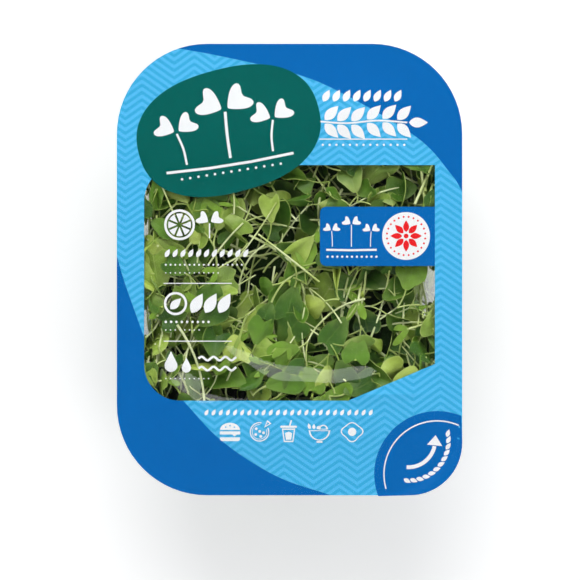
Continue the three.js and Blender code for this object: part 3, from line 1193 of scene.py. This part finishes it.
def seedling(tier, node, turn, lean, width, flip, tint, pressed):
    """A seedling whose node and heading in plan are given; its leaves face up, leaned by lean."""
    tint = share_near(tint, 0.24)
    length = rng.uniform(22, 46)
    way = (turn + 180, STEM_RISE + rng.gauss(0, 9))
    stem = curved(node, way, length, rng.gauss(0, 55), rng.gauss(0, 30), 8)
    thick = rng.uniform(0.34, 0.6)
    keep(stems, settle(stem, pressed + thick), thick, STEM_TAPER)
    spread = rng.uniform(22, 62)
    for side in (1, -1):
        stalk = rng.uniform(4.0, 10.5)
        way = (turn + side * spread * 0.6, rng.uniform(-8, 24))
        path = settle(curved(node, way, stalk, side * spread * 0.7, rng.uniform(5, 35), 4), pressed + thick)
        keep(stalks, path, thick, STALK_TAPER)
        along = unit(path[-1] - path[-2])
        roll = heading(rng.uniform(0, 360), 0)
        up = UPRIGHT + roll * math.tan(math.radians(min(abs(rng.gauss(0, lean)), 75)))
        if rng.random() < flip:
            up = -up
        leaf_width = width * rng.uniform(0.82, 1.12)
        kind = rng.choice(SEED_KINDS)
        foot = path[-1] - 0.3 * along
        grow_leaf(tier, foot, along, across(up, along), leaf_width, kind, share_near(tint, 0.1), pressed)
    if rng.random() < 0.2:
        for side in (0.5, -0.4):
            along = heading(turn + side * 60, rng.uniform(10, 40))
            up = across(UPRIGHT, along)
            grow_leaf(tier, node, along, up, rng.uniform(5, 8), TRUE_LEAF, 0.9, pressed)


# %% [markdown]
# The places come from a jittered grid, so the leaves cover the window evenly and still look
# strewn. The top tier leans least and shows most undersides, where leaves were turned over as the
# pack was filled. Some loose stems lie on it. Beyond the window, under the print, fewer will do.

# %% Strew the tiers


def strewn(low, high, pitch):
    """Places on a jittered grid within a rectangle."""
    for x in np.arange(low[0] + pitch / 2, high[0], pitch):
        for y in np.arange(low[1] + pitch / 2, high[1], pitch):
            yield x + rng.uniform(-0.5, 0.5) * pitch, y + rng.uniform(-0.5, 0.5) * pitch


def start_at(x, y, low_z, high_z):
    return settle(np.array([[x, y, rng.uniform(low_z, high_z)]]), 1.0)[0]


BY_WINDOW = ((-WINDOW_SIDE - 3, WINDOW_FOOT - 4), (WINDOW_SIDE + 3, WINDOW_TOP + 4))
# name, pitch, lowest and highest node, lean, share of turned leaves and tint; the deeper tiers get lower
# tints as painted shade
TIERS = (
    ("top", 13.2, 45.5, 48.6, 24, 0.33, 0.46),
    ("middle", 14.6, 37.5, 43.5, 32, 0.3, 0.4),
    ("deep", 14.0, 28.0, 34.5, 36, 0.2, 0.28),
)
for tier, pitch, low_z, high_z, lean, flip, tint in TIERS:
    for x, y in strewn(*BY_WINDOW, pitch):
        node = start_at(x, y, low_z, high_z)
        width = rng.choice((10, 11.5, 12.5, 13, 14, 16.5))
        turn = rng.uniform(0, 360)
        seedling(tier, node, turn, lean, width, flip, tint, rng.uniform(0, 2.2))
for x, y in strewn(*BY_WINDOW, 19.0):
    start = start_at(x, y, 41, 48.5)
    way = (rng.uniform(0, 360), rng.uniform(-9, 9))
    stem = curved(start, way, rng.uniform(20, 44), rng.gauss(0, 30), rng.gauss(0, 14), 8)
    thick = rng.uniform(0.3, 0.52)
    keep(stems, settle(stem, thick + rng.uniform(0, 1.5)), thick, STEM_TAPER)

for x, y in strewn((-60, -88), (60, 88), 17.0):
    if not WINDOW_FOOT - 4 < y < WINDOW_TOP + 4:
        node = start_at(x, y, 40, 46)
        turn = rng.uniform(0, 360)
        seedling("sides", node, turn, 25, rng.uniform(10, 14), 0.4, 0.42, rng.uniform(0, 2))
print({tier: len(grown) for tier, grown in leaves.items()})

# %% [markdown]
# Along the walls the seedlings stand and hang, with their faces to the plastic. Their places run
# round the tray row by row, a little way in from the wall's inner face.

# %% A coat along the walls
WALL_ROWS = (6.5, 12.5, 18.5, 24.5, 30.5, 36.5, 42.5)
WALL_PITCH = 12.0
ROUND_TRAY = 500.0


def on_wall(distance, z, back):
    """A place so far round the tray and so far back from its inner face, and the way out there."""
    radius = CORNER_R - float(wall_inset(z)) - back
    quarter = math.pi / 2 * radius
    sides = (2 * STRAIGHT_Y, 2 * STRAIGHT_X) * 2
    corners = np.array([(1, -1), (1, 1), (-1, 1), (-1, -1), (1, -1)]) * (STRAIGHT_X, STRAIGHT_Y)
    distance %= sum(sides) + 4 * quarter
    k = 0
    while distance >= sides[k] + quarter:
        distance -= sides[k] + quarter
        k += 1
    angle = (k + max(distance - sides[k], 0) / quarter) * math.pi / 2
    out = np.array([math.cos(angle), math.sin(angle)])
    place = corners[k] + (corners[k + 1] - corners[k]) * min(distance / sides[k], 1)
    return place + out * radius, out


for z in WALL_ROWS:
    for distance in np.arange(0, ROUND_TRAY, WALL_PITCH):
        height = z + rng.uniform(-3.5, 3.5)
        back = rng.uniform(2.6, 7.0)
        place, out = on_wall(distance + rng.uniform(-0.5, 0.5) * WALL_PITCH, height, back)
        node = np.array([*place, height])
        outward = np.array([*out, 0.25])
        lie = rng.uniform(0, 2 * math.pi)
        along = np.array([-out[1] * math.cos(lie), out[0] * math.cos(lie), math.sin(lie)])
        tint = share_near(0.42, 0.22)
        way = np.degrees((math.atan2(-along[1], -along[0]), -math.asin(along[2])))
        stem = curved(node, way, rng.uniform(18, 36), rng.gauss(0, 18), rng.gauss(0, 18), 7)
        thick = rng.uniform(0.36, 0.6)
        keep(stems, settle(stem, thick), thick, np.ones(8))
        for side in (1, -1):
            swing = math.radians(side * rng.uniform(20, 60))
            way = unit(along * math.cos(swing) + np.cross(outward, along) * math.sin(swing))
            stalk = settle(node + np.outer(np.linspace(0, rng.uniform(3, 7), 4), way), thick)
            keep(stalks, stalk, thick, (0.95, 0.8, 0.75, 0.95))
            up = unit(outward + [rng.gauss(0, 0.3) for _ in range(3)])
            if rng.random() < 0.4:
                up = -up
            width = rng.choice((9, 10.5, 11.5, 12.5, 14))
            kind = rng.choice(SEED_KINDS)
            grow_leaf("sides", stalk[-1], way, across(up, way), width, kind, tint, 0.0)
print({tier: len(grown) for tier, grown in leaves.items()}, "leaves,", len(stems), "stems")

# %% [markdown]
# A stem that runs into a leaf would poke through it. A map of one square for each millimetre holds
# the highest leaf there. Wherever a stem passes over the map's leaves, that whole stretch of it is
# laid either just over them or just under them, whichever is nearer.

# %% Lay the stems over or under the leaves
MAP_HALF = (80, 100)
highest = np.full((2 * MAP_HALF[0], 2 * MAP_HALF[1]), -1.0)
for grown in leaves.values():
    leaf_points = np.concatenate([placed for placed, _ in grown])
    squares = np.floor(leaf_points[:, :2]).astype(int) + MAP_HALF
    for step in np.ndindex(3, 3):
        np.maximum.at(highest, tuple((squares + step - (1, 1)).T), leaf_points[:, 2])


def laid(path, radii):
    """A stem's points, with each stretch over leaves laid clear of them."""
    squares = np.floor(path[:, :2]).astype(int) + MAP_HALF
    leaf_z = highest[tuple(squares.T)]
    path = path.copy()
    clear = radii.max() + 0.35
    first = 0
    while first < len(path):
        last = first
        while last < len(path) and leaf_z[last] > 0:
            last += 1
        if last > first:
            stretch, beside = path[first:last, 2], leaf_z[first:last]
            if (stretch - beside).mean() > 0.4:
                path[first:last, 2] = np.maximum(stretch, beside + clear)
            else:
                path[first:last, 2] = np.minimum(stretch, beside - clear)
        first = max(last, first + 1)
    return settle(path, radii.max())


stems = [(laid(path, radii), radii) for path, radii in stems]
print(f"{len(stems)} stems laid, the map holds leaves on {(highest > 0).mean():.0%} of its squares")

# %% [markdown]
# All leaves of a tier become one mesh, with the leaf's coordinates and tint on it, and Solidify
# gives them their flesh. Its material offset puts the paler skin on the lower face and the edge.
# Stems and stalks are drawn as curves with a round section, thinner and thicker along their way,
# and turned into meshes with closed ends.

# %% Meshes of leaves
LEAF_THICK = 0.28


def leaf_mesh(tier):
    flat, faces, coordinates = MODELS[TIER_CELLS[tier]][0]
    placed, tints = zip(*leaves[tier])
    count = len(tints)
    all_faces = faces + np.arange(count)[:, None, None] * len(flat)
    mesh = bpy.data.meshes.new(f"leaves_{tier}")
    mesh.from_pydata((np.concatenate(placed) * MM).tolist(), [], all_faces.reshape(-1, 4).tolist())
    layer = mesh.uv_layers.new(name="leaf")
    layer.data.foreach_set("uv", np.tile(coordinates, (count, 1)).ravel())
    tint = mesh.attributes.new("tint", "FLOAT", "POINT")
    tint.data.foreach_set("value", np.repeat(tints, len(flat)))
    piece = drawn(mesh.name, mesh)
    mesh.materials.append(leaf_upper)
    mesh.materials.append(leaf_lower)
    thickened(piece, LEAF_THICK, material_offset=1, material_offset_rim=1)
    bpy.ops.object.shade_smooth_by_angle(angle=math.radians(55))
    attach(piece, "root")
    print(f"{piece.name}: {count} leaves")


for tier in TIER_CELLS:
    leaf_mesh(tier)

# %% Meshes of stems


def stem_mesh(name, paths, material):
    curve = bpy.data.curves.new(name, "CURVE")
    curve.dimensions = "3D"
    curve.bevel_depth = MM
    curve.bevel_resolution = 1
    curve.use_fill_caps = True
    for points, radii in paths:
        spline = curve.splines.new("POLY")
        spline.points.add(len(points) - 1)
        for point, place, radius in zip(spline.points, points, radii):
            point.co = (*(place * MM), 1)
            point.radius = radius
    drawn(name, curve)
    bpy.ops.object.convert(target="MESH")
    bpy.ops.object.shade_smooth_by_angle(angle=math.radians(60))
    dressed(bpy.context.object, material)


stem_mesh("stems", stems, stem_pale)
stem_mesh("stalks", stalks, stem_green)

# %% [markdown]
# The core stands for the seedlings that nobody sees. It is a rounded block with an uneven face, and its
# nearly black-green colour is painted shade, so that it only reads as shadowed depth between the leaves.

# %% The core
CORE_TOP, CORE_FOOT, CORE_INSIDE = 27.0, 1.2, 19.0
core = begun("greens_core", bpy.ops.mesh.primitive_cube_add, size=1.0)
edit_all()
bpy.ops.mesh.bevel(offset=0.12, segments=3, affect="EDGES")
bpy.ops.mesh.select_all(action="SELECT")
bpy.ops.mesh.subdivide(number_cuts=5)
mode("OBJECT")
size = np.array([FILM_W - 2 * CORE_INSIDE, FILM_L - 2 * CORE_INSIDE, CORE_TOP - 3.2])
points = read_mm(core.data) * MM * size + (0, 0, CORE_TOP / 2 + CORE_FOOT)
x, y, z = points.T
wide = np.sin(x / 5.5 + 0.6) * np.cos(y / 6.5 - 0.4) + np.sin(z / 4.0)
points[:, 2] += 1.4 * wide * (z > CORE_TOP / 2)
write_mm(core.data, settle(points))
only(core)
rounder = core.modifiers.new("rounder", "SUBSURF")
rounder.levels = rounder.render_levels = 1
bpy.ops.object.modifier_apply(modifier=rounder.name)
bpy.ops.object.shade_smooth()

core_painted_shade, deep_tree, deep_shader = finish("core_painted_shade", Roughness=0.8, Specular_IOR_Level=0.1)
cell_place = {"Vector": place_of(deep_tree), "Scale": 110.0}
lumps = add(deep_tree, "TexVoronoi", cell_place, feature="F1")
lump_parts = add(deep_tree, "SeparateXYZ", {0: lumps.outputs["Color"]})
# The core's colours are painted shade: near-black greens for the shadowed depth between the leaves, varied
# by lumps.
darkest, lightest = (0.006, 0.018, 0.004, 1), (0.03, 0.075, 0.014, 1)
core_shade_colour = blended(deep_tree, lump_parts.outputs["X"], darkest, lightest)
deep_tree.links.new(core_shade_colour, deep_shader.inputs["Base Color"])
relief(deep_tree, deep_shader, lumps.outputs["Distance"], 0.8, 1.5)
dressed(core, core_painted_shade)
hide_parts("greens")

# %% [markdown]
# ## Floor, light and camera
# The pack lies on a plain pale floor. The film is a mirror as much as a window, so what stands
# overhead matters: the sky of this studio is dark right above, where the film would mirror it into
# the camera, and pale all round lower down. A big soft lamp beyond the far end models the leaves,
# and a smaller one on the other side fills their shadows. A long narrow one nearly overhead stands
# where only the creases of the film can mirror it, which draws the grey band there.

# %% The floor
floor = begun("studio_floor", bpy.ops.mesh.primitive_plane_add, size=6.0)
floor_paper, floor_tree, floor_shader = finish("floor_paper", Roughness=0.75)
floor_shader.inputs["Emission Color"].default_value = (1, 1, 1, 1)
floor_shader.inputs["Emission Strength"].default_value = 0.34
mottle = noise(floor_tree, 2.5, 2.0)
floor_colour = blended(floor_tree, mottle, (0.93, 0.94, 0.95, 1), (0.96, 0.96, 0.96, 1))
floor_tree.links.new(floor_colour, floor_shader.inputs["Base Color"])
floor.data.materials.append(floor_paper)
floor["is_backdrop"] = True

# %% The studio's pale surroundings
SKY_DARK, SKY_PALE = 0.02, 0.47
DARK_WITHIN, PALE_BEYOND = math.radians(15), math.radians(34)
world = bpy.data.worlds.new("studio")
bpy.context.scene.world = world
world.use_nodes = True
sky = world.node_tree
way = add(sky, "TexCoord")
rise = add(sky, "SeparateXYZ", {0: way.outputs["Generated"]}).outputs["Z"]
from_zenith = span(sky, rise, math.cos(PALE_BEYOND), math.cos(DARK_WITHIN), SKY_PALE, SKY_DARK)
by_horizon = span(sky, rise, 0.5, 0.0, to_high=0.42)
backdrop = sky.nodes["Background"]
backdrop.inputs["Color"].default_value = (0.97, 0.985, 1.0, 1)
sky.links.new(calc(sky, "ADD", from_zenith, by_horizon), backdrop.inputs["Strength"])

# %% Lamps


def softbox(name, off_zenith, azimuth, distance, size, watts):
    """A rectangular lamp facing the pack, azimuth counted from +X towards +Y."""
    lean, turn = math.radians(off_zenith), math.radians(azimuth)
    lamp = bpy.data.lights.new(name, "AREA")
    lamp.shape = "RECTANGLE"
    lamp.size, lamp.size_y = size
    lamp.energy = watts
    side = math.sin(lean)
    place = Vector((side * math.cos(turn), side * math.sin(turn), math.cos(lean))) * distance
    holder = drawn(name, lamp)
    holder.location = place
    holder.rotation_euler = (-place).to_track_quat("-Z", "Y").to_euler()


softbox("key", 52, 96, 1.9, (1.5, 1.2), 21.8)
softbox("fill", 52, -35, 1.6, (0.9, 0.9), 3.9)
softbox("crease_light", 18, -90, 1.3, (0.85, 0.19), 0.85)

# %% [markdown]
# The camera looks straight down on the pack, as the photographer's did, from far enough away that
# the near and far edges keep the same scale. Its lens follows from the distance and from how wide
# a strip of the film's level the frame takes in.

# %% The camera
VIEW_WIDTH = 0.2438
VIEW_CENTRE = (0.0002, -0.0086)
CAMERA_ABOVE = 1.5
SENSOR = 36.0
eye = bpy.data.cameras.new("overhead")
eye.sensor_width = SENSOR
eye.lens = SENSOR * CAMERA_ABOVE / VIEW_WIDTH
camera = drawn("overhead", eye)
camera.location = (*VIEW_CENTRE, FILM_TOP * MM + CAMERA_ABOVE)
bpy.context.scene.camera = camera
bpy.context.scene.view_settings.view_transform = "Standard"
print(f"lens {eye.lens:.0f} mm")

# %% [markdown]
# Last, the size of what is seen is printed, in mm.

# %% Measure and finish
seen_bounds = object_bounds()
for corner in seen_bounds:
    print([round(value / MM, 2) for value in corner])
